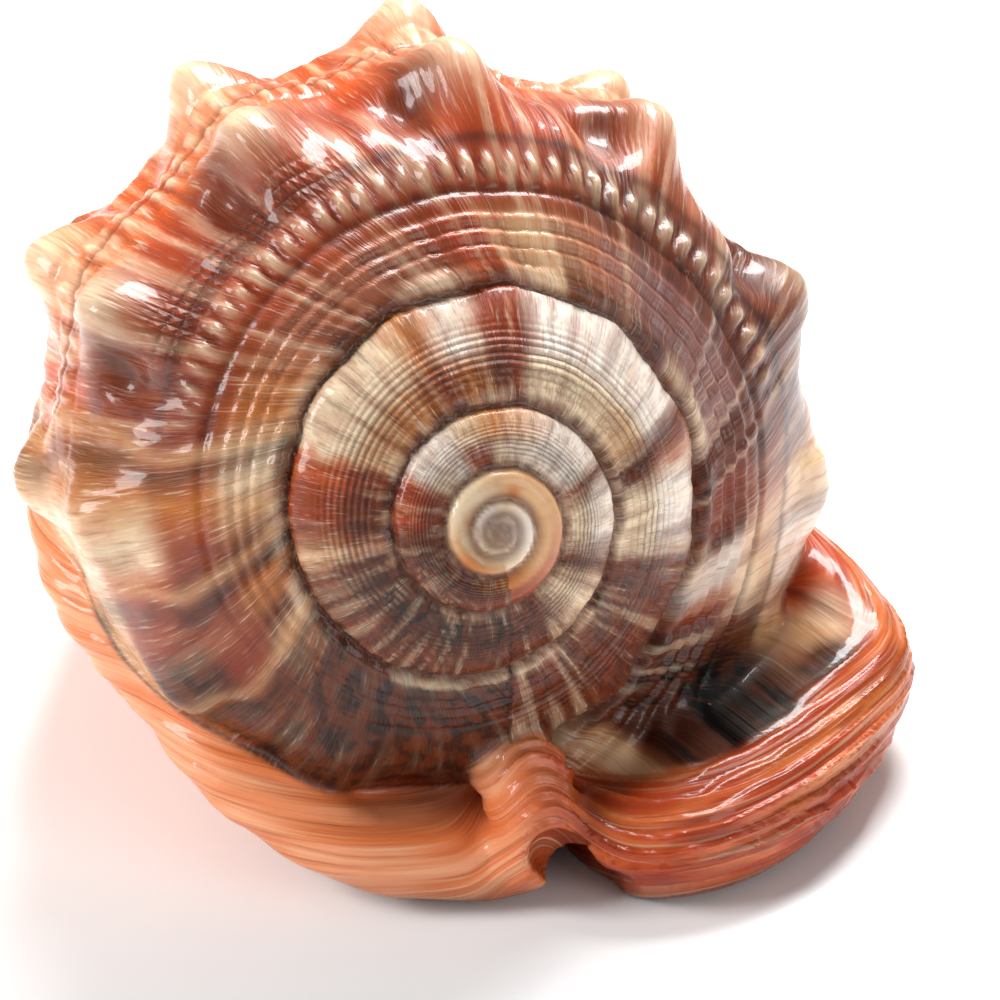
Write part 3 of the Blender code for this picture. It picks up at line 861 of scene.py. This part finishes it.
def tinted(tree, base, tint, part, at):
    """The base colour, mixed towards a tint by a socket."""
    made = node(tree, "ShaderNodeMix", at, data_type="RGBA")
    tree.links.new(part, made.inputs["Factor"])
    tree.links.new(base, made.inputs["A"])
    made.inputs["B"].default_value = (*colour(tint), 1.0)
    return made.outputs["Result"]


def shell_material():
    """Polished calcium carbonate: streaks along the growth lines, threads, layers and gloss."""
    material = bpy.data.materials.new("polished_shell")
    material.use_nodes = True
    tree = material.node_tree
    tree.nodes.clear()
    paint = attribute(tree, "paint", (-8, 2)).outputs["Color"]
    coil = attribute(tree, "coil", (-8, 0)).outputs["Vector"]
    layers = attribute(tree, "layers", (-8, -2)).outputs["Vector"]
    callus = attribute(tree, "callus", (-8, -3)).outputs["Fac"]
    threads = attribute(tree, "threads", (-8, -4)).outputs["Fac"]
    on_last = attribute(tree, "last", (-8, -5)).outputs["Fac"]
    on_whorl = attribute(tree, "grown", (-8, -6)).outputs["Fac"]

    streak = noise(tree, stretched(tree, coil, (16.0, 0.40, 1.0), (-7, 1)), 1.0, 2.0, (-6, 1))
    cloud = noise(tree, stretched(tree, coil, (2.2, 0.5, 1.0), (-7, 0)), 1.0, 3.0, (-6, 0))
    lamina = noise(tree, stretched(tree, layers, (2.2, 0.35, 1.0), (-7, -2)), 1.0, 2.0, (-6, -2))
    brightness = node(tree, "ShaderNodeRGBToBW", (-7, 3))
    tree.links.new(paint, brightness.inputs[0])
    bright = range_of(tree, brightness.outputs[0], 0.01, 0.12, 0.1, 1.0, (-6, 3))
    streaky = maths(tree, "MULTIPLY", on_whorl, bright, (-5, 3))
    pale = maths(tree, "MULTIPLY", range_of(tree, streak, 0.58, 0.76, 0, 0.45, (-5, 2)), streaky,
                 (-4, 2))
    deep = maths(tree, "MULTIPLY", range_of(tree, streak, 0.46, 0.28, 0, 0.40, (-5, 1)), on_whorl,
                 (-4, 1))
    pale_layer = maths(tree, "MULTIPLY", range_of(tree, lamina, 0.55, 0.72, 0, 0.45, (-5, 0)),
                       callus, (-4, 0))
    deep_layer = maths(tree, "MULTIPLY", range_of(tree, lamina, 0.45, 0.28, 0, 0.50, (-5, -1)),
                       callus, (-4, -1))
    cloudy = maths(tree, "MULTIPLY", range_of(tree, cloud, 0.56, 0.44, 0, 0.22, (-5, -2)), on_whorl,
                   (-4, -2))

    parts = node(tree, "ShaderNodeSeparateXYZ", (-7, -5))
    tree.links.new(coil, parts.inputs[0])
    wave = maths(tree, "SINE", maths(tree, "MULTIPLY", parts.outputs["Y"], 8.4, (-6, -5)), 0.0,
                 (-5, -5))
    cross = maths(tree, "SINE", maths(tree, "MULTIPLY", parts.outputs["X"], 37.0, (-6, -6)), 0.0,
                  (-5, -6))
    crossed = maths(tree, "MULTIPLY", maths(tree, "ADD", cross, 1.0, (-5, -7)), on_last, (-4, -6))
    net = maths(tree, "MAXIMUM", wave, maths(tree, "SUBTRACT", crossed, 1.0, (-4, -7)), (-3, -6))
    dark_thread = maths(tree, "MULTIPLY", range_of(tree, net, 0.2, 0.9, 0, 0.6, (-4, -4)), threads,
                        (-3, -4))

    shown = tinted(tree, paint, "cream", pale, (-3, 2))
    shown = tinted(tree, shown, "umber", deep, (-2, 2))
    shown = tinted(tree, shown, "sand", pale_layer, (-1, 2))
    shown = tinted(tree, shown, "rust", deep_layer, (0, 2))
    shown = tinted(tree, shown, "rust", cloudy, (1, 2))
    shown = tinted(tree, shown, "bark", dark_thread, (2, 2))

    height = maths(tree, "MULTIPLY", maths(tree, "MULTIPLY", streak, 0.5, (-3, -1)), on_whorl,
                   (-2, -1))
    height = maths(tree, "ADD", height, maths(tree, "MULTIPLY", lamina, callus, (-2, -2)), (-1, -1))
    sunk = maths(tree, "MULTIPLY", maths(tree, "MULTIPLY", net, threads, (-2, -4)), -0.35, (-1, -4))
    height = maths(tree, "ADD", height, sunk, (0, -1))
    relief = node(tree, "ShaderNodeBump", (1, -1))
    relief.inputs["Strength"].default_value = 0.85
    relief.inputs["Distance"].default_value = 0.0006
    tree.links.new(height, relief.inputs["Height"])

    surface = node(tree, "ShaderNodeBsdfPrincipled", (4, 0))
    tree.links.new(shown, surface.inputs["Base Color"])
    tree.links.new(range_of(tree, streak, 0.3, 0.7, 0.50, 0.34, (2, 0)), surface.inputs["Roughness"])
    tree.links.new(relief.outputs["Normal"], surface.inputs["Normal"])
    surface.inputs["Specular IOR Level"].default_value = 0.25
    surface.inputs["Coat Weight"].default_value = 0.30
    surface.inputs["Coat Roughness"].default_value = 0.10
    surface.inputs["Coat IOR"].default_value = 1.5
    output = node(tree, "ShaderNodeOutputMaterial", (6, 0))
    tree.links.new(surface.outputs["BSDF"], output.inputs["Surface"])
    return material


def make_shell():
    mesh, origin = shell_skin()
    mesh.name = "helmet_shell_skin"
    mesh.materials.append(shell_material())
    mesh.shade_smooth()
    piece = bpy.data.objects.new("helmet_shell_skin", mesh)
    bpy.context.scene.collection.objects.link(piece)
    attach(piece, "root")
    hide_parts(NODE)
    return origin


# Where the camera stands from the apex, in units, and the lens that fills the frame.
CAMERA_FROM_APEX = (-2.35089, -6.60489, 3.85506)
CAMERA_AZIMUTH = -19.51
CAMERA_ELEVATION = 28.0
LENS = 89.64  # millimetres on a 36 mm sensor


def make_camera(origin):
    data = bpy.data.cameras.new("camera")
    data.lens = LENS
    data.clip_start = 0.01
    data.clip_end = 20.0
    camera = bpy.data.objects.new("camera", data)
    bpy.context.scene.collection.objects.link(camera)
    camera.location = origin + (APEX + CAMERA_FROM_APEX) * SUTURE_RADIUS
    azimuth, elevation = np.radians([CAMERA_AZIMUTH, CAMERA_ELEVATION])
    back = Vector((np.sin(azimuth) * np.cos(elevation), -np.cos(azimuth) * np.cos(elevation),
                   np.sin(elevation)))
    camera.rotation_mode = "QUATERNION"
    camera.rotation_quaternion = (-back).to_track_quat("-Z", "Y")
    bpy.context.scene.camera = camera


def plain_material(name, shade, roughness):
    material = bpy.data.materials.new(name)
    material.use_nodes = True
    surface = material.node_tree.nodes["Principled BSDF"]
    surface.inputs["Base Color"].default_value = (shade, shade, shade, 1.0)
    surface.inputs["Roughness"].default_value = roughness
    return material


def make_floor():
    mesh = bpy.data.meshes.new("floor")
    half = 4.0
    corners = [(-half, -half, 0.0), (half, -half, 0.0), (half, half, 0.0), (-half, half, 0.0)]
    mesh.from_pydata(corners, [], [(0, 1, 2, 3)])
    mesh.materials.append(plain_material("paper", 0.93, 0.9))
    floor = bpy.data.objects.new("floor", mesh)
    floor.location.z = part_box(NODE)[0].z - 0.0002
    bpy.context.scene.collection.objects.link(floor)


# Lights: name, place and size in metres, power in watts.
LIGHTS = [
    ("key", (0.22, 0.30, 0.62), 0.34, 10.0),
    ("left", (-0.60, 0.00, 0.40), 0.26, 4.4),
    ("front", (0.45, -0.75, 0.30), 0.40, 2.0),
]


def make_lights(target):
    for name, place, size, power in LIGHTS:
        data = bpy.data.lights.new(name, "AREA")
        data.shape = "SQUARE"
        data.size = size
        data.energy = power
        light = bpy.data.objects.new(name, data)
        light.location = place
        light.rotation_mode = "QUATERNION"
        light.rotation_quaternion = (target - light.location).to_track_quat("-Z", "Y")
        bpy.context.scene.collection.objects.link(light)
    world = bpy.data.worlds.new("studio")
    world.use_nodes = True
    backdrop = world.node_tree.nodes["Background"]
    backdrop.inputs["Color"].default_value = (1.0, 1.0, 1.0, 1.0)
    backdrop.inputs["Strength"].default_value = 0.26
    bpy.context.scene.world = world
    bpy.context.scene.view_settings.view_transform = "Standard"


def main():
    origin = make_shell()
    make_camera(origin)
    make_floor()
    low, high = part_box(NODE)
    make_lights((low + high) / 2)


main()
